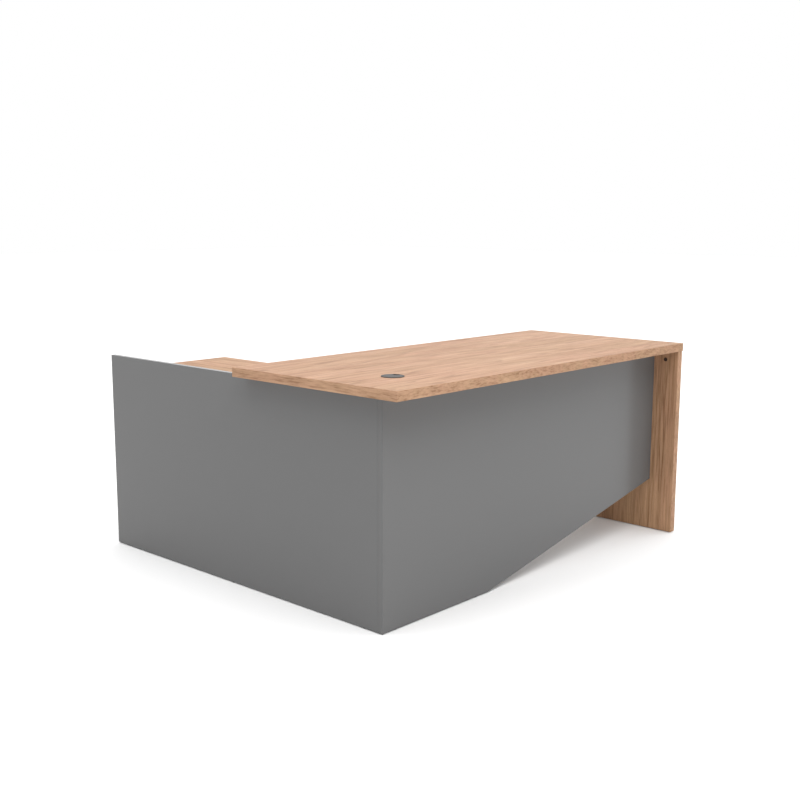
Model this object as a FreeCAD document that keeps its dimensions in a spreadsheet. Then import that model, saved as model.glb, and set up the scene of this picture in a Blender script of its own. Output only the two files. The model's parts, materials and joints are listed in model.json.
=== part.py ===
import FreeCAD, Part
import os
from types import SimpleNamespace

import Sketcher
from FreeCAD import Placement, Rotation, Vector

# L-shaped office desk: an oak desk top on a slab leg and on a storage return with a niche, a cupboard and
# three drawers. Millimetres. X runs along the desk top, Y from the visitor's side to the far end of the
# return, Z up from the floor. The origin is on the floor under the middle of the whole desk.

SIZES = {
    # desk top and slab leg
    "top_length": 1600,
    "top_depth": 700,
    "top_thickness": 30,
    "desk_height": 735,
    "leg_thickness": 30,
    "leg_setback": 2,
    # grey panels under the top
    "board": 18,
    "edge_radius": 1,
    "left_overhang": 50,
    "front_overhang": 100,
    "slant_start": 500,
    "slant_rise": 200,
    # storage return
    "return_length": 1350,
    "return_width": 500,
    "return_gap": 55,
    "return_top_thickness": 30,
    "plinth_height": 60,
    "plinth_setback": 40,
    "front_gap": 3,
    "front_standoff": 3,
    "front_setback": 2,
    # shelves on pins
    "shelf_clear": 1,
    "shelf_setback": 20,
    "pin_diameter": 5,
    "pin_grip": 6,
    "pin_reach": 8,
    "pin_inset": 60,
    "pin_pitch": 32,
    # drawers
    "drawer_board": 12,
    "drawer_back_gap": 25,
    "drawer_lift": 20,
    "drawer_drop": 30,
    "bottom_thickness": 4,
    "bottom_lift": 12,
    "groove_depth": 5,
    "groove_play": 0.1,
    "box_joint_inset": 30,
    "box_dowel_diameter": 6,
    "box_dowel_length": 25,
    # telescopic runners
    "runner_width": 13,
    "rail_height": 45,
    "rail_steel": 1.5,
    "rail_play": 0.4,
    "rail_nose": 2,
    "rail_setback": 2,
    # bow handles
    "handle_centres": 128,
    "handle_rod": 10,
    "handle_reach": 30,
    "handle_bend": 12,
    "handle_edge": 40,
    "handle_drop": 150,
    # door pivots
    "hinge_inset": 7,
    "hinge_pin": 5,
    "hinge_pin_length": 12,
    "hinge_play": 0.5,
    "hinge_rest": 0.1,
    "hinge_plate_reach": 50,
    "hinge_screw_inset": 10,
    "hinge_screw_pitch": 25,
    "bush_wall": 1.5,
    "bush_rim": 2,
    "bush_length": 14,
    "running_play": 0.05,
    # cam locks and dowels
    "cam_diameter": 15,
    "cam_setback": 34,
    "cam_below_axis": 5,
    "cam_recess": 0.5,
    "cam_socket": 5,
    "cam_socket_depth": 2.5,
    "cam_end": 52,
    "cam_run": 100,
    "cam_low": 25,
    "cam_high": 50,
    "bolt_thread": 5,
    "bolt_thread_length": 11,
    "bolt_rod": 6,
    "bolt_neck": 4,
    "bolt_head": 6.4,
    "bolt_hole": 8,
    "dowel_diameter": 8,
    "dowel_length": 30,
    "dowel_in_face": 10,
    "dowel_offset": 32,
    "fixing_play": 0.05,
    "hole_end": 1,
    # screws
    "screw_diameter": 3.5,
    "screw_head": 6.4,
    "screw_head_height": 2,
    "screw_length": 9,
    "screw_inset": 60,
    "back_screw_length": 33,
    "handle_screw": 4,
    "handle_screw_head": 7.2,
    "handle_screw_head_height": 2.4,
    "handle_screw_grip": 8,
    # cable outlet
    "grommet_from_end": 200,
    "grommet_from_front": 200,
    "grommet_bore": 60,
    "grommet_flange": 70,
    "grommet_wall": 2.5,
    "grommet_length": 24,
    "grommet_ledge": 1,
    "grommet_seat": 0.5,
    "grommet_chamfer": 1,
    "cap_thickness": 2,
    "cap_seat": 3,
    "cap_play": 0.3,
    "cap_skirt_depth": 6,
    "cap_skirt_wall": 2,
    "cap_chamfer": 0.5,
    "cable_slot_width": 24,
    "cable_slot_reach": 17,
    "cable_slot_angle": 15,
    # floor glides
    "glide_height": 3,
    "glide_foot": 13,
    "glide_diameter": 16,
    "glide_nail": 2.5,
    "glide_nail_length": 12,
    "glide_inset": 60,
}

OVERCUT = 1.0
BAYS = 3
DRAWERS = 3
AXES = "xyz"
TURNS = {
    "+x": Rotation(Vector(0, 1, 0), 90),
    "-x": Rotation(Vector(0, 1, 0), -90),
    "+y": Rotation(Vector(1, 0, 0), -90),
    "-y": Rotation(Vector(1, 0, 0), 90),
    "+z": Rotation(),
    "-z": Rotation(Vector(1, 0, 0), 180),
}


class Size:
    """A length of the desk: its formula for the document, and its value for code that needs a number."""

    def __init__(self, formula, value):
        self.formula = formula
        self.value = value

    @staticmethod
    def of(number):
        return number if isinstance(number, Size) else Size(repr(float(number)), float(number))

    def __add__(self, other):
        other = Size.of(other)
        return Size(f"({self.formula} + {other.formula})", self.value + other.value)

    def __sub__(self, other):
        other = Size.of(other)
        return Size(f"({self.formula} - {other.formula})", self.value - other.value)

    def __mul__(self, number):
        return Size(f"({self.formula} * {number})", self.value * number)

    def __truediv__(self, number):
        return Size(f"({self.formula} / {number})", self.value / number)

    def __neg__(self):
        return self * -1


# Document and sheet of driving sizes
doc = FreeCAD.newDocument("desk")
sheet = doc.addObject("Spreadsheet::Sheet", "dims")
for row, (alias, number) in enumerate(SIZES.items(), start=1):
    sheet.set(f"A{row}", alias)
    sheet.set(f"B{row}", str(number))
    sheet.setAlias(f"B{row}", alias)
doc.recompute()
d = SimpleNamespace(**{alias: Size(f"dims.{alias}", float(sheet.get(alias))) for alias in SIZES})

# Planes that the pieces share
at = SimpleNamespace()
at.top_left = -(d.top_length / 2)
at.top_right = d.top_length / 2
at.top_front = -((d.front_overhang + d.return_length) / 2)
at.top_back = at.top_front + d.top_depth
at.underside = d.desk_height - d.top_thickness
at.leg_outer = at.top_right - d.leg_setback
at.leg_inner = at.leg_outer - d.leg_thickness
at.leg_front = at.top_front + d.leg_setback
at.leg_back = at.top_back - d.leg_setback
at.left = at.top_left + d.left_overhang
at.left_inner = at.left + d.board
at.front = at.top_front + d.front_overhang
at.front_inner = at.front + d.board
at.back = at.front + d.return_length
at.return_edge = at.left_inner + d.return_width
at.return_surface = at.underside - d.return_gap
at.ceiling = at.return_surface - d.return_top_thickness
at.face = at.return_edge - d.front_setback
at.face_inner = at.face - d.board
at.mouth = at.face_inner - d.front_standoff
at.floor_top = d.plinth_height + d.board
at.fronts_low = d.plinth_height + d.front_gap
at.fronts_high = at.ceiling - d.front_gap
uprights_and_modesty = BAYS + 2
bay_width = (d.return_length - d.board * uprights_and_modesty) / BAYS
at.bays = [at.front_inner + d.board + (bay_width + d.board) * i for i in range(BAYS)]

pieces = {}
drills = {}


def bind(item, formulas):
    """Tie properties of a document object to sizes."""
    for path, size in formulas.items():
        item.setExpression(path, Size.of(size).formula)


def put(item, point):
    """Tie the place of a document object to a point."""
    bind(item, {f"Placement.Base.{axis}": size for axis, size in zip(AXES, point)})


def shift(point, direction, amount):
    """The point moved by an amount along a direction such as +x."""
    step = amount if direction[0] == "+" else -Size.of(amount)
    return tuple(size + step if axis == direction[1] else size for axis, size in zip(AXES, point))


def reverse(direction):
    return ("-" if direction[0] == "+" else "+") + direction[1]


def block(name, low, high):
    """A box between two corners."""
    solid = doc.addObject("Part::Box", name)
    sides = [top - bottom for bottom, top in zip(low, high)]
    bind(solid, dict(zip(("Length", "Width", "Height"), sides)))
    put(solid, low)
    return solid


def rod(name, start, direction, radius, length):
    """A cylinder that runs from a point along an axis."""
    solid = doc.addObject("Part::Cylinder", name)
    solid.Placement = Placement(Vector(), TURNS[direction])
    bind(solid, {"Radius": radius, "Height": length})
    put(solid, start)
    return solid


def join(name, solids):
    if len(solids) == 1:
        return solids[0]
    fused = doc.addObject("Part::MultiFuse", name)
    fused.Shapes = solids
    return fused


def cut(name, base, tools):
    if not tools:
        return base
    result = doc.addObject("Part::Cut", name)
    result.Base = base
    result.Tool = join(f"{name}_tools", tools)
    return result


def group(name, solids):
    """Separate solids that are kept as one piece's node."""
    compound = doc.addObject("Part::Compound", name)
    compound.Links = solids
    return compound


def keep(label, item):
    """Name a finished solid as a piece of the desk."""
    item.Label = label
    pieces[label] = item


def drill(label, *tools):
    """Collect holes for a board that is finished later."""
    drills.setdefault(label, []).extend(tools)


def eased(name, base):
    """A board with its twelve edges rounded, as edge banding leaves them."""
    rounded = doc.addObject("Part::Fillet", f"{name}_eased")
    rounded.Base = base
    radius = d.edge_radius.value
    rounded.Edges = [(edge, radius, radius) for edge in range(1, 13)]
    return rounded


def board(label, low, high):
    return eased(label, block(f"{label}_blank", low, high))


def outline(body, name, role, points):
    """A closed polygon on an origin plane of a body, each corner tied to two sizes or to an axis."""
    sketch = body.newObject("Sketcher::SketchObject", name)
    plane = next(item for item in body.Origin.OriginFeatures if item.Role == role)
    sketch.AttachmentSupport = [(plane, "")]
    sketch.MapMode = "FlatFace"
    corners = [Vector(Size.of(across).value, Size.of(up).value, 0) for across, up in points]
    count = len(corners)
    for i in range(count):
        sketch.addGeometry(Part.LineSegment(corners[i], corners[(i + 1) % count]), False)
    for i in range(count):
        sketch.addConstraint(Sketcher.Constraint("Coincident", i, 2, (i + 1) % count, 1))
    for i, (across, up) in enumerate(points):
        for kind, zero_axis, size in (("DistanceX", -2, across), ("DistanceY", -1, up)):
            if isinstance(size, Size):
                index = sketch.addConstraint(Sketcher.Constraint(kind, -1, 1, i, 1, size.value))
                sketch.setExpression(f"Constraints[{index}]", size.formula)
            else:
                sketch.addConstraint(Sketcher.Constraint("PointOnObject", i, 1, zero_axis))
    return sketch


def turned(name, place, points):
    """A body of revolution about its own upright axis, from a profile of radius and height."""
    body = doc.addObject("PartDesign::Body", name)
    profile = outline(body, f"{name}_profile", "XZ_Plane", points)
    spin = body.newObject("PartDesign::Revolution", f"{name}_turned")
    spin.Profile = profile
    spin.ReferenceAxis = (profile, ["V_Axis"])
    spin.Angle = 360
    put(body, place)
    return body


# Boards of the desk and of the return
blanks = {
    "main_top": board(
        "main_top",
        (at.top_left, at.top_front, at.underside),
        (at.top_right, at.top_back, d.desk_height),
    ),
    "right_leg": board(
        "right_leg",
        (at.leg_inner, at.leg_front, d.glide_height),
        (at.leg_outer, at.leg_back, at.underside),
    ),
    "left_panel": board(
        "left_panel",
        (at.left, at.front_inner, d.glide_height),
        (at.left_inner, at.back, at.underside),
    ),
    "return_top": board(
        "return_top",
        (at.left_inner, at.front_inner, at.ceiling),
        (at.return_edge, at.back, at.return_surface),
    ),
    "cabinet_end_front": board(
        "cabinet_end_front",
        (at.left_inner, at.front_inner, d.glide_height),
        (at.mouth, at.bays[0], at.ceiling),
    ),
    "partition_front": board(
        "partition_front",
        (at.left_inner, at.bays[1] - d.board, at.floor_top),
        (at.mouth, at.bays[1], at.ceiling),
    ),
    "partition_rear": board(
        "partition_rear",
        (at.left_inner, at.bays[2] - d.board, at.floor_top),
        (at.mouth, at.bays[2], at.ceiling),
    ),
    "cabinet_end_rear": board(
        "cabinet_end_rear",
        (at.left_inner, at.back - d.board, d.glide_height),
        (at.mouth, at.back, at.ceiling),
    ),
    "cabinet_floor": board(
        "cabinet_floor",
        (at.left_inner, at.bays[0], d.plinth_height),
        (at.mouth, at.back - d.board, at.floor_top),
    ),
    "plinth": board(
        "plinth",
        (at.mouth - d.plinth_setback - d.board, at.bays[0], d.glide_height),
        (at.mouth - d.plinth_setback, at.back - d.board, d.plinth_height),
    ),
}


def modesty_panel():
    """Grey board on the visitor's side: full height at the return, its lower edge slanting up to the leg."""
    width = at.leg_inner - at.left
    height = at.underside - d.glide_height
    body = doc.addObject("PartDesign::Body", "modesty_body")
    points = [
        (0, 0),
        (d.slant_start, 0),
        (width, d.slant_rise - d.glide_height),
        (width, height),
        (0, height),
    ]
    pad = body.newObject("PartDesign::Pad", "modesty_pad")
    pad.Profile = outline(body, "modesty_outline", "XZ_Plane", points)
    bind(pad, {"Length": d.board})
    doc.recompute()
    fillet = body.newObject("PartDesign::Fillet", "modesty_eased")
    fillet.Base = (pad, [f"Edge{i}" for i in range(1, len(pad.Shape.Edges) + 1)])
    bind(fillet, {"Radius": d.edge_radius})
    put(body, (at.left, at.front_inner, d.glide_height))
    return body


blanks["modesty_panel"] = modesty_panel()

# Cam locks, their bolts and the dowels beside them
cams = []
bolts = []
dowels = []


def peg(name, held, carrier, point, into, diameter, length):
    """A dowel that stands in the carrier's face at point and runs into the held board's edge along into."""
    back = reverse(into)
    hole = diameter / 2 + d.fixing_play
    drill(held, rod(f"{name}_hole", point, into, hole, length - d.dowel_in_face + d.hole_end))
    drill(carrier, rod(f"{name}_seat", point, back, hole, d.dowel_in_face + d.hole_end))
    return rod(name, shift(point, back, d.dowel_in_face), into, diameter / 2, length)


def fixing(held, carrier, point, into, face, thickness, beside):
    """One cam lock and dowel: the bolt and dowel stand in the carrier's face at point and run into the held
    board's edge along into; the cam is let into the held board's face that looks along face."""
    name = f"fixing_{len(cams) + 1}"
    back = reverse(into)
    play = d.fixing_play
    centre = shift(point, into, d.cam_setback)
    cam_floor = shift(centre, reverse(face), d.cam_below_axis)
    cam_depth = thickness / 2 + d.cam_below_axis
    cam_radius = d.cam_diameter / 2
    cam_height = cam_depth - d.cam_recess
    cam_face = shift(cam_floor, face, cam_height)

    cam = rod(f"{name}_cam_blank", cam_floor, face, cam_radius - play, cam_height)
    mouth = rod(f"{name}_cam_mouth", shift(centre, back, cam_radius), into, d.bolt_hole / 2,
                cam_radius + d.bolt_hole / 2)
    socket = doc.addObject("Part::Prism", f"{name}_cam_socket")
    socket.Polygon = 6
    socket.Placement = Placement(Vector(), TURNS[reverse(face)])
    bind(socket, {"Circumradius": d.cam_socket / 2, "Height": d.cam_socket_depth})
    put(socket, cam_face)
    cams.append(cut(f"{name}_cam", cam, [mouth, socket]))

    shank = d.cam_setback - d.bolt_head
    head = doc.addObject("Part::Sphere", f"{name}_head")
    bind(head, {"Radius": d.bolt_head / 2})
    put(head, centre)
    bolts.append(join(f"{name}_bolt", [
        rod(f"{name}_thread", point, back, d.bolt_thread / 2, d.bolt_thread_length),
        rod(f"{name}_shank", point, into, d.bolt_rod / 2, shank),
        rod(f"{name}_neck", point, into, d.bolt_neck / 2, d.cam_setback),
        head,
    ]))

    dowels.append(peg(f"{name}_dowel", held, carrier, shift(point, beside, d.dowel_offset), into,
                      d.dowel_diameter, d.dowel_length))
    drill(held,
          rod(f"{name}_cam_hole", cam_floor, face, cam_radius, cam_depth + OVERCUT),
          rod(f"{name}_bolt_hole", point, into, d.bolt_hole / 2, d.cam_setback))
    drill(carrier, rod(f"{name}_thread_hole", point, back, d.bolt_thread / 2 + play,
                       d.bolt_thread_length + d.hole_end))


leg_middle = at.leg_inner + d.leg_thickness / 2
leg_centre = (at.leg_front + at.leg_back) / 2
for y in (at.leg_front + d.cam_end, leg_centre, at.leg_back - d.cam_end - d.dowel_offset):
    fixing("right_leg", "main_top", (leg_middle, y, at.underside), "-z", "-x", d.leg_thickness, "+y")
for y in (at.front_inner + d.cam_run, at.top_back - d.cam_run):
    point = (at.left + d.board / 2, y, at.underside)
    fixing("left_panel", "main_top", point, "-z", "+x", d.board, "+y")
modesty_middle = at.front + d.board / 2
for x in (at.left + d.cam_run, (at.left + at.leg_inner) / 2, at.leg_inner - d.cam_run):
    fixing("modesty_panel", "main_top", (x, modesty_middle, at.underside), "-z", "+y", d.board, "+x")
for z in (d.slant_rise + d.cam_run, at.underside - d.cam_run):
    fixing("modesty_panel", "right_leg", (at.leg_inner, modesty_middle, z), "-x", "+y", d.board, "+z")
for z in (at.floor_top + d.cam_run, at.ceiling - d.cam_run):
    point = (at.left + d.board / 2, at.front_inner, z)
    fixing("left_panel", "modesty_panel", point, "+y", "+x", d.board, "+z")

uprights = [
    ("cabinet_end_front", at.bays[0], "+y"),
    ("partition_front", at.bays[1], "+y"),
    ("partition_rear", at.bays[2], "-y"),
    ("cabinet_end_rear", at.back, "-y"),
]
for label, high_face, face in uprights:
    middle = high_face - d.board / 2
    for z in (at.floor_top + d.cam_low, at.ceiling - d.cam_high):
        fixing(label, "left_panel", (at.left_inner, middle, z), "+x", face, d.board, "+z")
    for x in (at.left_inner + d.cam_run, at.mouth - d.cam_run):
        fixing(label, "return_top", (x, middle, at.ceiling), "-z", face, d.board, "+x")
floor_middle = d.plinth_height + d.board / 2
for x in (at.left_inner + d.cam_run, at.mouth - d.cam_run):
    fixing("cabinet_floor", "cabinet_end_front", (x, at.bays[0], floor_middle), "+y", "-z", d.board, "+x")
    point = (x, at.back - d.board, floor_middle)
    fixing("cabinet_floor", "cabinet_end_rear", point, "-y", "-z", d.board, "+x")
    for label, high_face, face in uprights[1:-1]:
        foot = (x, high_face - d.board / 2, at.floor_top)
        dowels.append(peg(f"{label}_foot_dowel", label, "cabinet_floor", foot, "+z",
                          d.dowel_diameter, d.dowel_length))
plinth_middle = (at.mouth - d.plinth_setback - d.board / 2, (d.glide_height + d.plinth_height) / 2)
for label, y, into in (("cabinet_end_front", at.bays[0], "+y"), ("cabinet_end_rear", at.back - d.board, "-y")):
    end = (plinth_middle[0], y, plinth_middle[1])
    dowels.append(peg(f"{label}_plinth_dowel", "plinth", label, end, into, d.dowel_diameter, d.dowel_length))

# Shelves and their pins
pins = []


def shelf(label, bay, low_wall, high_wall):
    """A loose shelf half way up a bay, on four pins in rows of three holes."""
    low = at.bays[bay]
    high = low + bay_width
    under = (at.floor_top + at.ceiling - d.board) / 2
    front = at.mouth - d.shelf_setback
    blanks[label] = board(
        label,
        (at.left_inner + d.shelf_clear, low + d.shelf_clear, under),
        (front, high - d.shelf_clear, under + d.board),
    )
    radius = d.pin_diameter / 2
    for wall, y, into in ((low_wall, low, "-y"), (high_wall, high, "+y")):
        for x in (at.left_inner + d.pin_inset, front - d.pin_inset):
            seat = (x, y, under - radius)
            start = shift(seat, into, d.pin_grip)
            pins.append(rod(f"{label}_pin", start, reverse(into), radius, d.pin_grip + d.pin_reach))
            for step in (-1, 0, 1):
                mouth = shift(seat, "+z", d.pin_pitch * step)
                drill(wall, rod(f"{label}_pin_hole", mouth, into, radius + d.fixing_play,
                                d.pin_grip + d.hole_end))


shelf("niche_shelf", 0, "cabinet_end_front", "partition_front")
shelf("cupboard_shelf", 1, "partition_front", "partition_rear")
keep("shelf_pins", group("shelf_pins_group", pins))

# Floor glides, nailed under the boards that reach the floor
glides = []


def glide(label, x, y):
    foot = doc.addObject("Part::Cone", "glide_foot")
    bind(foot, {
        "Radius1": d.glide_foot / 2,
        "Radius2": d.glide_diameter / 2,
        "Height": d.glide_height,
    })
    put(foot, (x, y, 0))
    top = (x, y, d.glide_height)
    nail = rod("glide_nail", (x, y, d.glide_height / 2), "+z", d.glide_nail / 2,
               d.glide_height / 2 + d.glide_nail_length)
    glides.append(join("glide", [foot, nail]))
    drill(label, rod("glide_nail_hole", top, "+z", d.glide_nail / 2 + d.fixing_play,
                     d.glide_nail_length + d.hole_end))


glide("right_leg", leg_middle, at.leg_front + d.glide_inset)
glide("right_leg", leg_middle, at.leg_back - d.glide_inset)
glide("modesty_panel", at.left + d.glide_inset, modesty_middle)
glide("modesty_panel", at.left + d.slant_start - d.glide_inset, modesty_middle)
left_middle = at.left + d.board / 2
for y in (at.front_inner + d.glide_inset, (at.front_inner + at.back) / 2, at.back - d.glide_inset):
    glide("left_panel", left_middle, y)
glide("cabinet_end_front", at.mouth - d.glide_inset, at.bays[0] - d.board / 2)
glide("cabinet_end_rear", at.mouth - d.glide_inset, at.back - d.board / 2)
keep("floor_glides", group("floor_glides_group", glides))

# Cable outlet: a liner whose flange stands out of a shallow seat in the top, and a cap that turns on its ledge
outlet = (at.top_left + d.grommet_from_end, at.top_front + d.grommet_from_front)


def grommet():
    seat = d.desk_height - d.grommet_seat
    crest = seat + d.grommet_ledge + d.cap_thickness
    bore = d.grommet_bore / 2
    flange = d.grommet_flange / 2
    tube = bore - d.grommet_wall
    cap = tube + d.cap_seat
    top = d.grommet_length
    ledge = top - d.cap_thickness
    shoulder = ledge - d.grommet_ledge
    outer = bore - d.fixing_play
    liner = turned("grommet_liner_body", (*outlet, crest - d.grommet_length), [
        (tube, 0),
        (outer, 0),
        (outer, shoulder),
        (flange, shoulder),
        (flange, top - d.grommet_chamfer),
        (flange - d.grommet_chamfer, top),
        (cap + d.cap_play, top),
        (cap + d.cap_play, ledge),
        (tube, ledge),
    ])
    keep("grommet_liner", liner)
    drill("main_top",
          rod("grommet_recess", (*outlet, seat), "+z", flange + d.fixing_play, d.grommet_seat + OVERCUT),
          rod("grommet_hole", (*outlet, at.underside - OVERCUT), "+z", bore, d.top_thickness + OVERCUT))

    skirt = tube - d.cap_play
    disc = d.cap_skirt_depth
    crown = disc + d.cap_thickness
    foot = (*outlet, crest - crown)
    blank = turned("grommet_cap_body", foot, [
        (skirt - d.cap_skirt_wall, 0),
        (skirt, 0),
        (skirt, disc),
        (cap, disc),
        (cap, crown - d.cap_chamfer),
        (cap - d.cap_chamfer, crown),
        (0, crown),
        (0, disc),
        (skirt - d.cap_skirt_wall, disc),
    ])
    half = d.cable_slot_width / 2
    round_end = cap - d.cable_slot_reach + half
    slot = join("cable_slot", [
        rod("cable_slot_end", (round_end, 0, -Size.of(OVERCUT)), "+z", half, crown + 2 * OVERCUT),
        block("cable_slot_mouth", (round_end, -half, -Size.of(OVERCUT)),
              (cap + OVERCUT, half, crown + OVERCUT)),
    ])
    slot.Placement = Placement(Vector(), Rotation(Vector(0, 0, 1), d.cable_slot_angle.value))
    put(slot, foot)
    keep("grommet_cap", cut("grommet_cap_cut", blank, [slot]))


grommet()


def bow_handle(name, place, turn):
    """A bow handle of bent rod with a screw hole in each foot; its feet stand on the plane through place."""
    radius = d.handle_rod / 2
    half = d.handle_centres / 2
    post = d.handle_reach - d.handle_bend
    inner = half - d.handle_bend
    solids = [rod(f"{name}_bar", (d.handle_reach, -inner, 0), "+y", radius, inner * 2)]
    holes = []
    for sign, start_angle in ((1, 0), (-1, -90)):
        foot = (0, half * sign, 0)
        solids.append(rod(f"{name}_post", foot, "+x", radius, post))
        elbow = doc.addObject("Part::Torus", f"{name}_elbow")
        elbow.Placement = Placement(Vector(), Rotation(Vector(0, 0, 1), start_angle))
        elbow.Angle3 = 90
        bind(elbow, {"Radius1": d.handle_bend, "Radius2": radius})
        put(elbow, (post, inner * sign, 0))
        solids.append(elbow)
        holes.append(rod(f"{name}_hole", foot, "+x", d.handle_screw / 2 + d.fixing_play,
                         d.handle_screw_grip + d.hole_end))
    handle = cut(f"{name}_bow", join(f"{name}_rod", solids), holes)
    handle.Placement = Placement(Vector(), turn)
    put(handle, place)
    return handle


def handle_screws(label, centre, along):
    """The two screws that hold a handle from behind a door or drawer front, with their holes drilled."""
    screws = []
    for sign in "+-":
        point = shift(centre, sign + along, d.handle_centres / 2)
        head_side = shift(point, "-x", d.board)
        shank = rod(f"{label}_shank", head_side, "+x", d.handle_screw / 2, d.board + d.handle_screw_grip)
        head = rod(f"{label}_head", head_side, "-x", d.handle_screw_head / 2, d.handle_screw_head_height)
        screws.append(join(f"{label}_screw", [shank, head]))
        drill(label, rod(f"{label}_screw_hole", head_side, "+x", d.handle_screw / 2 + d.fixing_play,
                         d.board))
    return screws


def flat_screw(name, surface, into, plate, length):
    """A flat-headed screw, its head flush in a plate at surface; returns it with its two holes."""
    head_radius = d.screw_head / 2
    radius = d.screw_diameter / 2
    play = d.fixing_play
    head = rod(f"{name}_head", surface, into, head_radius, plate)
    shank = rod(f"{name}_shank", surface, into, radius, plate + length)
    plate_hole = rod(f"{name}_plate_hole", surface, into, head_radius + play, plate)
    pilot = rod(f"{name}_pilot", shift(surface, into, plate), into, radius + play, length + d.hole_end)
    return join(name, [head, shank]), plate_hole, pilot


cabinet_screws = []


# Cupboard door on two pivots
def door():
    low_y = at.bays[1] - d.board / 2 + d.front_gap / 2
    high_y = at.bays[1] + bay_width + d.board / 2 - d.front_gap / 2
    blanks["door_panel"] = board("door_panel", (at.face_inner, low_y, at.fronts_low),
                                 (at.face, high_y, at.fronts_high))
    pivot = (at.face - d.hinge_inset, low_y + d.hinge_inset)
    plate = d.front_gap - d.hinge_play
    pin = d.hinge_pin / 2
    bush = pin + d.bush_wall
    reach_y = pivot[1] + d.hinge_plate_reach
    far_screw = reach_y - d.hinge_screw_inset
    screw_ys = (far_screw - d.hinge_screw_pitch, far_screw)

    # upper plate, under the return's top
    upper = [
        block("upper_plate", (pivot[0] - d.hinge_inset, low_y, at.ceiling - plate),
              (at.face, reach_y, at.ceiling)),
        rod("upper_pin", (*pivot, at.ceiling), "-z", pin, plate + d.hinge_play + d.hinge_pin_length),
    ]
    upper_holes = []
    for y in screw_ys:
        surface = (pivot[0], y, at.ceiling - plate)
        screw, hole, pilot = flat_screw("upper_screw", surface, "+z", plate, d.screw_length)
        cabinet_screws.append(screw)
        upper_holes.append(hole)
        drill("return_top", pilot)
    keep("hinge_plate_upper", cut("upper_cut", join("upper_solid", upper), upper_holes))

    # lower plate, under the cabinet's floor
    back_x = at.mouth - d.plinth_setback / 2
    lower = [
        block("lower_plate", (back_x, low_y, d.plinth_height - plate), (at.face, reach_y, d.plinth_height)),
        rod("lower_pin", (*pivot, d.plinth_height - plate), "+z", pin,
            plate + d.front_gap + d.hinge_pin_length),
    ]
    lower_holes = []
    for y in screw_ys:
        surface = ((back_x + at.mouth) / 2, y, d.plinth_height - plate)
        screw, hole, pilot = flat_screw("lower_screw", surface, "+z", plate, d.screw_length)
        cabinet_screws.append(screw)
        lower_holes.append(hole)
        drill("cabinet_floor", pilot)
    keep("hinge_plate_lower", cut("lower_cut", join("lower_solid", lower), lower_holes))

    # bushes in the door's two ends, the lower one with the rim that the door stands on
    upper_bush = rod("upper_bush_blank", (*pivot, at.fronts_high), "-z", bush, d.bush_length)
    lower_bush = rod("lower_bush_blank", (*pivot, at.fronts_low), "+z", bush, d.bush_length)
    rim = rod("lower_bush_rim", (*pivot, at.fronts_low), "-z", bush + d.bush_rim,
              d.front_gap - d.hinge_rest)
    bushes = []
    for name, solid, end, into, rise in (
        ("upper_bush", upper_bush, at.fronts_high, "-z", 0),
        ("lower_bush", join("lower_bush_solid", [lower_bush, rim]), at.fronts_low, "+z", d.front_gap),
    ):
        start = shift((*pivot, end), reverse(into), rise)
        bore = rod(f"{name}_bore", start, into, pin + d.running_play, d.bush_length + rise)
        bushes.append(cut(name, solid, [bore]))
        drill("door_panel", rod(f"{name}_seat", (*pivot, end), into, bush + d.fixing_play,
                                d.bush_length + d.hole_end))
    keep("door_bushes", group("door_bushes_group", bushes))

    centre = (at.face, high_y - d.handle_edge, at.fronts_high - d.handle_drop)
    keep("door_handle", bow_handle("door_handle_parts", centre, Rotation(Vector(1, 0, 0), 90)))
    keep("door_screws", group("door_screws_group", handle_screws("door_panel", centre, "z")))


# Drawers on telescopic runners
drawer_walls = (at.bays[2], at.bays[2] + bay_width)
drawer_back = at.left_inner + d.drawer_back_gap


def between(wall, sign, near, far):
    """Low and high Y of a strip that starts near and ends far from a cabinet wall, on its sign side."""
    if sign > 0:
        return wall + near, wall + far
    return wall - far, wall - near


def channel(name, x_ends, y_ends, hollow_ends, middle_z, half):
    """A rail of channel section: a strip with its open side hollowed out."""
    low, high = zip(x_ends, y_ends, (middle_z - half, middle_z + half))
    inner = half - d.rail_steel
    hollow_low, hollow_high = zip(x_ends, hollow_ends, (middle_z - inner, middle_z + inner))
    return cut(name, block(f"{name}_blank", low, high), [block(f"{name}_hollow", hollow_low, hollow_high)])


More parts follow.
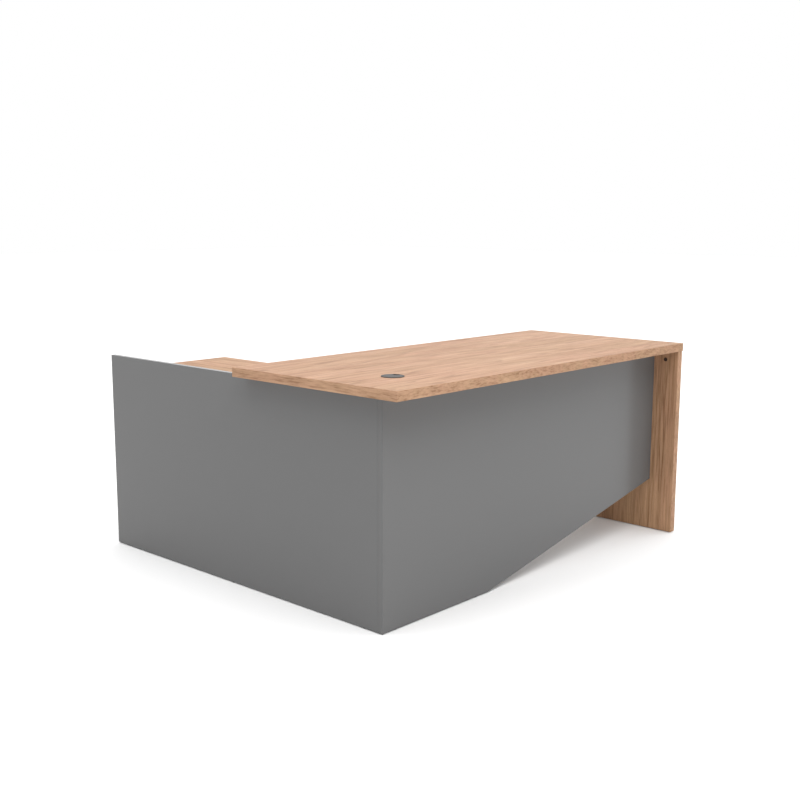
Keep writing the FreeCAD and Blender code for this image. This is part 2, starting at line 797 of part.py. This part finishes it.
def drawer_box(name, side_low, side_high):
    """Two sides dowelled to the front, a back between them and a bottom let into grooves of the sides;
    returns the screws that hold the back."""
    left_y = drawer_walls[0] + d.runner_width
    right_y = drawer_walls[1] - d.runner_width
    bottom_low = side_low + d.bottom_lift
    bottom_high = bottom_low + d.bottom_thickness
    inner_left = left_y + d.drawer_board
    inner_right = right_y - d.drawer_board
    groove_left = inner_left - d.groove_depth
    groove_right = inner_right + d.groove_depth
    play = d.groove_play
    joint_zs = (side_low + d.box_joint_inset, side_high - d.box_joint_inset)
    box_dowels = []
    back_screws = []
    for side, low_y, high_y, outer_y, inward in (
        ("left", left_y, inner_left, left_y, "+y"),
        ("right", inner_right, right_y, right_y, "-y"),
    ):
        label = f"{name}_side_{side}"
        blanks[label] = board(label, (drawer_back, low_y, side_low), (at.face_inner, high_y, side_high))
        drill(label, block(f"{label}_groove",
                           (drawer_back - OVERCUT, groove_left, bottom_low - play),
                           (at.face_inner + OVERCUT, groove_right, bottom_high + play)))
        for z in joint_zs:
            end = (at.face_inner, (low_y + high_y) / 2, z)
            box_dowels.append(peg(f"{label}_dowel", label, f"{name}_front", end, "-x",
                                  d.box_dowel_diameter, d.box_dowel_length))
            surface = (drawer_back + d.drawer_board / 2, outer_y, z)
            screw, hole, pilot = flat_screw(f"{label}_back_screw", surface, inward, d.screw_head_height,
                                            d.back_screw_length)
            back_screws.append(screw)
            drill(label, hole, pilot)
            drill(f"{name}_back", pilot)
    keep(f"{name}_dowels", group(f"{name}_dowels_group", box_dowels))
    blanks[f"{name}_back"] = board(f"{name}_back", (drawer_back, inner_left, bottom_high),
                                   (drawer_back + d.drawer_board, inner_right, side_high))
    keep(f"{name}_bottom", block(f"{name}_bottom_sheet", (drawer_back, groove_left + play, bottom_low),
                                 (at.face_inner, groove_right - play, bottom_high)))
    return back_screws


def runners(number, name, middle_z):
    """Cabinet, middle and drawer rails on both sides, one inside the next; returns the drawer's screws."""
    steel = d.rail_steel
    step = steel + d.rail_play
    half = d.rail_height / 2
    width = d.runner_width
    nose = width - d.rail_nose
    cabinet_nose = nose - d.rail_play
    rail_x = (drawer_back, at.mouth - d.rail_setback)
    screw_xs = (rail_x[0] + d.screw_inset, rail_x[1] - d.screw_inset)
    cabinet_rails = []
    middle_rails = []
    drawer_rails = []
    drawer_screws = []
    for wall, sign, wall_label, side_label in (
        (drawer_walls[0], 1, "partition_rear", f"{name}_side_left"),
        (drawer_walls[1], -1, "cabinet_end_rear", f"{name}_side_right"),
    ):
        to_box = "+y" if sign > 0 else "-y"
        cabinet = channel(f"{name}_cabinet_rail", rail_x, between(wall, sign, 0, cabinet_nose),
                          between(wall, sign, steel, cabinet_nose), middle_z, half)
        middle_rails.append(channel(f"{name}_middle_rail", rail_x, between(wall, sign, step, nose),
                                    between(wall, sign, step + steel, nose), middle_z, half - step))
        inner = channel(f"{name}_inner_rail", rail_x, between(wall, sign, step * 2, width),
                        between(wall, sign, step * 2, width - steel), middle_z, half - step * 2)
        cabinet_holes = []
        inner_holes = []
        for x in screw_xs:
            seat = (x, wall, middle_z)
            screw, hole, pilot = flat_screw(f"{name}_rail_screw", shift(seat, to_box, steel),
                                            reverse(to_box), steel, d.screw_length)
            cabinet_screws.append(screw)
            cabinet_holes.append(hole)
            drill(wall_label, pilot)
            screw, hole, pilot = flat_screw(f"{name}_side_screw", shift(seat, to_box, width - steel),
                                            to_box, steel, d.screw_length)
            drawer_screws.append(screw)
            inner_holes.append(hole)
            drill(side_label, pilot)
        cabinet_rails.append(cut(f"{name}_cabinet_rail_cut", cabinet, cabinet_holes))
        drawer_rails.append(cut(f"{name}_inner_rail_cut", inner, inner_holes))
    keep(f"cabinet_rails_{number}", group(f"{name}_cabinet_rails", cabinet_rails))
    keep(f"middle_rails_{number}", group(f"{name}_middle_rails", middle_rails))
    keep(f"{name}_rails", group(f"{name}_inner_rails", drawer_rails))
    return drawer_screws


def drawer(number):
    """One drawer, counted from the top: front, box, runners and handle."""
    name = f"drawer_{number}"
    front_height = (at.fronts_high - at.fronts_low - d.front_gap * (DRAWERS - 1)) / DRAWERS
    front_low = at.fronts_high - front_height * number - d.front_gap * (number - 1)
    front_high = front_low + front_height
    front_left = drawer_walls[0] - d.board / 2 + d.front_gap / 2
    front_right = at.back - d.front_gap / 2
    front = f"{name}_front"
    blanks[front] = board(front, (at.face_inner, front_left, front_low), (at.face, front_right, front_high))
    side_low = front_low + d.drawer_lift
    side_high = front_high - d.drawer_drop
    screws = drawer_box(name, side_low, side_high)
    screws += runners(number, name, (side_low + side_high) / 2)
    centre = (at.face, (front_left + front_right) / 2, (front_low + front_high) / 2)
    keep(f"{name}_handle", bow_handle(f"{name}_handle_parts", centre, Rotation()))
    keep(f"{name}_screws", group(f"{name}_screws_group", screws + handle_screws(front, centre, "y")))


door()
for number in range(1, DRAWERS + 1):
    drawer(number)
keep("cabinet_screws", group("cabinet_screws_group", cabinet_screws))
keep("cam_housings", group("cam_housings_group", cams))
keep("cam_bolts", group("cam_bolts_group", bolts))
keep("dowels", group("dowels_group", dowels))

# Drill the boards
for label, blank in blanks.items():
    keep(label, cut(f"{label}_drilled", blank, drills.get(label, [])))

# Check every object, then write one file for each piece
doc.recompute()
failed = [item.Name for item in doc.Objects if {"Invalid", "Error"} & set(item.State)]
if failed:
    raise RuntimeError(f"objects failed: {failed}")
for label, item in pieces.items():
    if item.Shape.isNull() or not item.Shape.isValid() or not item.Shape.Solids:
        raise RuntimeError(f"piece has no valid shape: {label}")
os.makedirs("parts", exist_ok=True)
for label, item in pieces.items():
    item.Shape.exportStep(f"parts/{label}.step")
    print(label, len(item.Shape.Solids), round(item.Shape.Volume))
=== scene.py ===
import json
import math

import bpy
from mathutils import Euler, Matrix, Vector

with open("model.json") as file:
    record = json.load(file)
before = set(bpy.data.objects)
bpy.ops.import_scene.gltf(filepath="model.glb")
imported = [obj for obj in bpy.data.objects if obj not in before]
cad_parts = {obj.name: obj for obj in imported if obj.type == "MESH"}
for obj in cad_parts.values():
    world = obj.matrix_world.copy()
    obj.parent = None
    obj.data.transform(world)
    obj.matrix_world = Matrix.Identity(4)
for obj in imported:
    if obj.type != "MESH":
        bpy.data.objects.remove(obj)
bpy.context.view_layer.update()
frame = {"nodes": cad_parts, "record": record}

# The photograph's view, in metres in the desk's frame
CAMERA_PLACE = Vector((-2.93624, -2.68259, 1.19651))
CAMERA_AIM = Vector((0.729153, 0.664146, -0.16506))
CAMERA_ROLL = math.radians(0.1847)
CAMERA_LENS = 48.8976
CAMERA_SENSOR = 36.0
CAMERA_REACH = 200.0

# Studio light: a glow overhead that fades to the horizon, lit walls and a soft key light
ZENITH_GLOW = 2.97
GLOW_POWER = 3.0
# Each wall as the heading from +X and the rise of its middle, its reach, all in degrees, and its glow
WALLS = (
    (0, 12, 60, 0.94),
    (50, 6, 32, 0.8),
    (90, 12, 60, 0.41),
    (135, 12, 60, 0.55),
    (315, 12, 60, 0.58),
)
# Share of a wall's reach that glows in full
WALL_CORE = 0.43
KEY_PLACE = Vector((-1.6, -2.2, 3.0))
KEY_TARGET = Vector((-0.2, -0.6, 0.5))
KEY_SIZE = 1.8
KEY_WATTS = 33.5

# White floor with a faint glow of its own
FLOOR_SIZE = 60.0
FLOOR_WHITE = 0.81
FLOOR_GLOW = 0.048
WHITE = (1.0, 1.0, 1.0, 1.0)

# Eased edges: how far the normal turns, as one less the cosine, where an edge starts to show and where it
# shows in full, and the number of rays that look for it
EDGE_STARTS = 0.02
EDGE_SHOWS = 0.2
EDGE_RAYS = 4

NOISE_MEAN = 0.5


def linear(red, green, blue):
    """A linear colour from the 8-bit values that a picture shows."""
    values = [value / 255 for value in (red, green, blue)]
    return (*[v / 12.92 if v <= 0.04045 else ((v + 0.055) / 1.055) ** 2.4 for v in values], 1.0)


def grey(level):
    """A grey of this linear level."""
    return (level, level, level, 1.0)


class Graph:
    """The node tree of a material or world, built by short calls that return output sockets."""

    def __init__(self, owner):
        owner.use_nodes = True
        self.owner = owner
        self.tree = owner.node_tree
        self.place = self.node("ShaderNodeTexCoord")

    def feed(self, socket, value):
        """Link an output socket to an input, or set the input to a plain value."""
        if isinstance(value, bpy.types.NodeSocket):
            self.tree.links.new(value, socket)
        else:
            socket.default_value = value

    def node(self, kind, sockets=None, **settings):
        made = self.tree.nodes.new(kind)
        for name, value in settings.items():
            setattr(made, name, value)
        for key, value in (sockets or {}).items():
            self.feed(made.inputs[key], value)
        return made

    def math(self, operation, first, second=0.0):
        return self.node("ShaderNodeMath", {0: first, 1: second}, operation=operation).outputs[0]

    def vector_math(self, operation, first, second):
        return self.node("ShaderNodeVectorMath", {0: first, 1: second}, operation=operation).outputs[0]

    def dot(self, first, second):
        made = self.node("ShaderNodeVectorMath", {0: first, 1: second}, operation="DOT_PRODUCT")
        return made.outputs["Value"]

    def split(self, vector):
        return self.node("ShaderNodeSeparateXYZ", {0: vector}).outputs

    def combine(self, x, y, z):
        return self.node("ShaderNodeCombineXYZ", {0: x, 1: y, 2: z}).outputs[0]

    def noise(self, vector, cells, detail, roughness=0.5):
        """Noise with this many cells per metre along each axis of the vector."""
        sockets = {
            "Vector": self.vector_math("MULTIPLY", vector, cells),
            "Scale": 1.0,
            "Detail": detail,
            "Roughness": roughness,
        }
        return self.node("ShaderNodeTexNoise", sockets).outputs[0]

    def ramp(self, factor, *stops):
        """A colour ramp through (position, colour) stops."""
        made = self.node("ShaderNodeValToRGB", {0: factor})
        points = made.color_ramp.elements
        while len(points) < len(stops):
            points.new(0.5)
        for point, (position, colour) in zip(points, stops):
            point.position = position
            point.color = colour
        return made.outputs[0]

    def fade(self, factor, *stops):
        """A ramp through (position, level) stops."""
        return self.ramp(factor, *[(position, grey(level)) for position, level in stops])

    def blend(self, factor, first, second, kind="MIX"):
        """A mix of two colours."""
        sockets = {0: factor, 6: first, 7: second}
        return self.node("ShaderNodeMix", sockets, data_type="RGBA", blend_type=kind).outputs[2]

    def choose(self, factor, first, second):
        """A mix of two vectors."""
        return self.node("ShaderNodeMix", {0: factor, 4: first, 5: second}, data_type="VECTOR").outputs[1]

    def spread(self, factor, low, high):
        """A number from low to high as the factor goes from 0 to 1."""
        return self.node("ShaderNodeMapRange", {0: factor, 3: low, 4: high}).outputs[0]

    def rounding(self, radius):
        """The normal of edges eased by this radius in metres, and a mask of the edges."""
        eased = self.node("ShaderNodeBevel", {"Radius": radius}, samples=EDGE_RAYS).outputs[0]
        flat = self.node("ShaderNodeNewGeometry").outputs["Normal"]
        turn = self.math("SUBTRACT", 1.0, self.dot(eased, flat))
        return eased, self.fade(turn, (EDGE_STARTS, 0.0), (EDGE_SHOWS, 1.0))

    def bump(self, height, depth, normal):
        """Surface relief of this depth in metres on a normal."""
        sockets = {"Height": height, "Strength": 1.0, "Distance": depth, "Normal": normal}
        return self.node("ShaderNodeBump", sockets).outputs[0]

    def finish(self, **sockets):
        """Feed the shader's inputs, named with underscores for spaces."""
        shader = self.tree.nodes["Principled BSDF"]
        for name, value in sockets.items():
            self.feed(shader.inputs[name.replace("_", " ")], value)
        return self.owner


# Oak decor: layers of the grain, as cells per metre along it and across it, octaves, and their falloff
OAK_LAYERS = {
    "wander": (1.4, 9, 2.0, 0.5),
    "hill": (0.6, 7, 1.5, 0.4),
    "streak": (2.2, 44, 8.0, 0.72),
    "dash": (8, 170, 3.0, 0.5),
    "fibre": (12, 700, 2.0, 0.5),
    "tone": (0.7, 3, 2.0, 0.5),
    "hue": (2.5, 10, 2.0, 0.5),
    "pore": (50, 1300, 1.0, 0.5),
}
# Noise levels where a layer starts to show and where it shows in full
OAK_SHOWS = {"streak": (0.33, 0.67), "dash": (0.46, 0.66), "hue": (0.35, 0.65), "pore": (0.6, 0.72)}
# How far layers darken the wood, and what they and the rings add up to where it has its middle colour
OAK_WEIGHTS = {"streak": 0.42, "dash": 0.3, "fibre": 0.2, "tone": 0.25}
OAK_BALANCE = 0.575
# Sideways sway of the grain in metres, and growth rings as contour lines of the hill
OAK_SWAY = 0.02
RING_COUNT = 16.0
RING_STOPS = ((0.0, 0.0), (0.7, 0.35), (0.93, 1.0), (1.0, 0.0))
RING_ON_BAND = 0.08
RING_ON_FACE = 0.24

OAK_MIDDLE = 0.45
OAK_COLOURS = (
    (0.1, linear(192, 155, 126)),
    (OAK_MIDDLE, linear(173, 137, 110)),
    (0.95, linear(131, 99, 75)),
)
OAK_PINK = (1.03, 0.99, 0.99, 1.0)
OAK_YELLOW = (0.99, 1.0, 0.96, 1.0)
PORE_COLOUR = linear(103, 76, 55)
PORE_SHARE = 0.35
OAK_SEAM_SHARE = 0.25
OAK_EASING = 0.0012
OAK_RELIEF = 0.00004
OAK_ROUGHNESS = (0.4, 0.5)
OAK_SPECULAR = 0.03

# Edge bands: scale of their grain along, across and through the board, their contrast, and a darker tone
# that is painted shade for how their side faces are lit
BAND_SCALE = (7.0, 2.6, 1.2)
BAND_CONTRAST = 1.15
BAND_PAINTED_SHADE = (0.955, 0.968, 0.993, 1.0)
# Least part of a face's normal that points through the board
FACE_NORMAL = 0.7


def oak_layer(g, grain, layer):
    """One layer of the oak's grain, from 0 to 1."""
    along, across, octaves, falloff = OAK_LAYERS[layer]
    level = g.noise(grain, (along, across, across), octaves, falloff)
    if layer not in OAK_SHOWS:
        return level
    start, full = OAK_SHOWS[layer]
    return g.fade(level, (start, 0.0), (full, 1.0))


def oak(name, axes, shift, painted_light_tone):
    """Oak board. The axes are the frame's axes along the grain, across it and through the board, and the
    shift in metres picks a place in the decor. The last argument scales the face's colour, as the band tone
    does that of the edge bands, whose grain runs along the edge. Both tones are painted light and shade: one
    oak made lighter on the leg's faces and darker on the tops and on the side faces, for how they are lit."""
    g = Graph(bpy.data.materials.new(name))
    place = g.split(g.vector_math("ADD", g.place.outputs["Object"], shift))
    normal = g.split(g.place.outputs["Normal"])
    along, across, through = ("xyz".index(letter) for letter in axes)
    face = g.combine(place[along], place[across], place[through])
    band = g.split(g.vector_math("MULTIPLY", face, BAND_SCALE))
    edge = g.combine(g.math("ADD", band[0], band[1]), band[2], 0.0)
    on_face = g.math("GREATER_THAN", g.math("ABSOLUTE", normal[through]), FACE_NORMAL)
    grain = g.choose(on_face, edge, face)

    wander = g.math("SUBTRACT", oak_layer(g, grain, "wander"), NOISE_MEAN)
    sway = g.math("MULTIPLY", wander, OAK_SWAY)
    grain = g.vector_math("ADD", grain, g.combine(0.0, sway, sway))
    streak, dash, fibre = (oak_layer(g, grain, layer) for layer in ("streak", "dash", "fibre"))
    hill, tone, hue, pore = (oak_layer(g, grain, layer) for layer in ("hill", "tone", "hue", "pore"))
    ring = g.fade(g.math("FRACT", g.math("MULTIPLY", hill, RING_COUNT)), *RING_STOPS)

    depth = g.math("MULTIPLY", ring, g.spread(on_face, RING_ON_BAND, RING_ON_FACE))
    for layer, level in {"streak": streak, "dash": dash, "fibre": fibre, "tone": tone}.items():
        depth = g.math("ADD", depth, g.math("MULTIPLY", level, OAK_WEIGHTS[layer]))
    contrast = g.spread(on_face, BAND_CONTRAST, 1.0)
    depth = g.math("MULTIPLY", g.math("SUBTRACT", depth, OAK_BALANCE), contrast)
    wood = g.ramp(g.math("ADD", depth, OAK_MIDDLE), *OAK_COLOURS)
    colour = g.blend(1.0, wood, g.blend(hue, OAK_PINK, OAK_YELLOW), "MULTIPLY")
    # Painted light and shade: the faces of each board and its edge bands get a brightness of their own for
    # how they are lit
    colour = g.blend(1.0, colour, g.blend(on_face, BAND_PAINTED_SHADE, painted_light_tone), "MULTIPLY")
    colour = g.blend(g.math("MULTIPLY", pore, PORE_SHARE), colour, PORE_COLOUR)
    eased, seam = g.rounding(OAK_EASING)
    colour = g.blend(g.math("MULTIPLY", seam, OAK_SEAM_SHARE), colour, PORE_COLOUR)
    return g.finish(
        Base_Color=colour,
        Roughness=g.spread(streak, *OAK_ROUGHNESS),
        Specular_IOR_Level=OAK_SPECULAR,
        Normal=g.bump(g.math("SUBTRACT", fibre, pore), OAK_RELIEF, eased),
    )


# Grey melamine
GREY = linear(103, 103, 103)
GREY_LIGHT = linear(107, 107, 107)
GREY_VARIETY = (-0.5, 1.5)
CLOUD_CELLS = (2, 2, 2)
PEBBLE_CELLS = (900, 900, 900)
GREY_SEAM = linear(58, 58, 58)
GREY_SEAM_SHARE = 0.9
GREY_EASING = 0.001
GREY_RELIEF = 0.000004
GREY_ROUGHNESS = (0.2, 0.28)
GREY_SPECULAR = 0.2


def grey_board(name):
    """Satin grey melamine with the faint pebbling of its press plate, and fine seams at its edge bands."""
    g = Graph(bpy.data.materials.new(name))
    place = g.place.outputs["Object"]
    cloud = g.noise(place, CLOUD_CELLS, detail=2.0)
    pebble = g.noise(place, PEBBLE_CELLS, detail=1.0)
    colour = g.blend(g.spread(g.math("ADD", cloud, pebble), *GREY_VARIETY), GREY, GREY_LIGHT)
    eased, seam = g.rounding(GREY_EASING)
    return g.finish(
        Base_Color=g.blend(g.math("MULTIPLY", seam, GREY_SEAM_SHARE), colour, GREY_SEAM),
        Roughness=g.spread(pebble, *GREY_ROUGHNESS),
        Specular_IOR_Level=GREY_SPECULAR,
        Normal=g.bump(pebble, GREY_RELIEF, eased),
    )


# Plain finishes: 8-bit colours of base and flecks, the flecks' cells per metre along each axis, roughness,
# and relief in metres
EVEN = (700, 700, 700)
FINISHES = {
    "drawer_board": dict(
        base=(196, 196, 194), fleck=(188, 188, 186), cells=EVEN, roughness=0.5, relief=0.000006,
    ),
    "drawer_bottom": dict(
        base=(205, 203, 198), fleck=(192, 189, 183), cells=EVEN, roughness=0.55, relief=0.00001,
    ),
    "zinc_steel": dict(
        base=(178, 179, 180), fleck=(158, 160, 163), cells=(6, 600, 600), roughness=0.36, relief=0.000003,
        metallic=1.0,
    ),
    "screw_steel": dict(
        base=(190, 190, 188), fleck=(170, 170, 168), cells=(900, 900, 900), roughness=0.35, relief=0.000004,
        metallic=1.0,
    ),
    "satin_metal": dict(
        base=(200, 198, 194), fleck=(188, 186, 182), cells=(1400, 30, 1400), roughness=0.3, relief=0.000002,
        metallic=1.0,
    ),
    "cam_zinc": dict(
        base=(74, 54, 43), fleck=(60, 43, 34), cells=(500, 500, 500), roughness=0.55, relief=0.00002,
        metallic=0.2,
    ),
    "beech": dict(
        base=(206, 172, 134), fleck=(186, 148, 110), cells=(40, 900, 900), roughness=0.6, relief=0.00003,
    ),
    "grey_plastic": dict(
        base=(86, 85, 84), fleck=(76, 75, 74), cells=(1600, 1600, 1600), roughness=0.65, relief=0.00001,
        specular=0.15,
    ),
    "black_plastic": dict(
        base=(34, 34, 35), fleck=(26, 26, 27), cells=EVEN, roughness=0.45, relief=0.00001,
    ),
    "nylon": dict(
        base=(224, 221, 212), fleck=(214, 210, 200), cells=EVEN, roughness=0.5, relief=0.00001,
    ),
}
# Noise levels where flecks start to show and show in full, and half the range of the roughness
FLECK_STARTS = 0.3
FLECK_SHOWS = 0.7
FLECK_ROUGHNESS = 0.06
RIM_EASING = 0.0004
RIM_SHARE = 0.5


def speckled(name, base, fleck, cells, roughness, relief, metallic=0.0, specular=0.5):
    """A plain finish with fine flecks of a second tone, even in all directions or drawn out by its cells."""
    g = Graph(bpy.data.materials.new(name))
    grain = g.noise(g.place.outputs["Object"], cells, detail=3.0)
    flecks = g.fade(grain, (FLECK_STARTS, 0.0), (FLECK_SHOWS, 1.0))
    colour = g.blend(flecks, linear(*base), linear(*fleck))
    eased, rim = g.rounding(RIM_EASING)
    return g.finish(
        Base_Color=g.blend(g.math("MULTIPLY", rim, RIM_SHARE), colour, linear(*fleck)),
        Roughness=g.spread(grain, roughness - FLECK_ROUGHNESS, roughness + FLECK_ROUGHNESS),
        Metallic=metallic,
        Specular_IOR_Level=specular,
        Normal=g.bump(grain, relief, eased),
    )


# Every node takes the finish of its slot, and each oak board has a place of its own in the decor
materials = {slot: speckled(slot, **finish) for slot, finish in FINISHES.items()}
materials["grey_board"] = grey_board("grey_board")
oaks = {
    # The last value of each board is painted light and shade: the one oak made lighter on the leg and darker
    # on the tops
    "main_top": oak("oak_main_top", "xyz", (8.21, 8.39, 0.91), (0.895, 0.903, 0.923, 1.0)),
    "right_leg": oak("oak_right_leg", "zyx", (4.59, 4.71, 7.97), (1.055, 1.045, 1.01, 1.0)),
    "return_top": oak("oak_return_top", "yxz", (5.0, 4.0, 1.0), (0.92, 0.92, 0.92, 1.0)),
}
for part in frame["record"]["subparts"]:
    node = part["node"]
    material = oaks[node] if node in oaks else materials[part["material_slot"]]
    mesh = frame["nodes"][node].data
    mesh.materials.clear()
    mesh.materials.append(material)


def aimed(place, way, roll=0.0):
    """The world matrix of a camera or light at a place that looks along a way."""
    turn = way.to_track_quat("-Z", "Y").to_matrix() @ Matrix.Rotation(roll, 3, "Z")
    return Matrix.Translation(place) @ turn.to_4x4()


def white_floor():
    half = FLOOR_SIZE / 2
    corners = [(-half, -half, 0), (half, -half, 0), (half, half, 0), (-half, half, 0)]
    mesh = bpy.data.meshes.new("floor")
    mesh.from_pydata(corners, [], [(0, 1, 2, 3)])
    material = Graph(bpy.data.materials.new("floor_white")).finish(
        Base_Color=grey(FLOOR_WHITE),
        Roughness=1.0,
        Specular_IOR_Level=0.0,
        Emission_Color=WHITE,
        Emission_Strength=FLOOR_GLOW,
    )
    mesh.materials.append(material)
    floor = bpy.data.objects.new("floor", mesh)
    bpy.context.scene.collection.objects.link(floor)


def surroundings():
    """Light from overhead and from the walls, which the camera sees as plain white."""
    g = Graph(bpy.data.worlds.new("studio"))
    way = g.place.outputs["Generated"]
    overhead = g.math("POWER", g.math("MAXIMUM", g.split(way)[2], 0.0), GLOW_POWER)
    level = g.math("MULTIPLY", overhead, ZENITH_GLOW)
    for heading, rise, reach, strength in WALLS:
        turn = Euler((0.0, math.radians(-rise), math.radians(heading)))
        middle = turn.to_matrix() @ Vector((1.0, 0.0, 0.0))
        rim = (math.cos(math.radians(reach)), 0.0)
        core = (math.cos(math.radians(reach * WALL_CORE)), 1.0)
        wall = g.fade(g.dot(way, middle), rim, core)
        level = g.math("ADD", level, g.math("MULTIPLY", wall, strength))
    glow = g.node("ShaderNodeBackground", {"Color": WHITE, "Strength": level})
    backdrop = g.node("ShaderNodeBackground", {"Color": WHITE})
    seen = g.node("ShaderNodeLightPath").outputs["Is Camera Ray"]
    both = g.node("ShaderNodeMixShader", {0: seen, 1: glow.outputs[0], 2: backdrop.outputs[0]})
    g.feed(g.tree.nodes["World Output"].inputs["Surface"], both.outputs[0])
    bpy.context.scene.world = g.owner


def key_light():
    panel = bpy.data.lights.new("key", "AREA")
    panel.shape = "DISK"
    panel.size = KEY_SIZE
    panel.energy = KEY_WATTS
    key = bpy.data.objects.new("key", panel)
    key.matrix_world = aimed(KEY_PLACE, KEY_TARGET - KEY_PLACE)
    key.visible_camera = False
    bpy.context.scene.collection.objects.link(key)


def camera():
    data = bpy.data.cameras.new("camera")
    data.lens = CAMERA_LENS
    data.sensor_width = CAMERA_SENSOR
    data.clip_end = CAMERA_REACH
    view = bpy.data.objects.new("camera", data)
    view.matrix_world = aimed(CAMERA_PLACE, CAMERA_AIM, CAMERA_ROLL)
    bpy.context.scene.collection.objects.link(view)
    bpy.context.scene.camera = view
    bpy.context.scene.view_settings.view_transform = "Standard"


white_floor()
surroundings()
key_light()
camera()
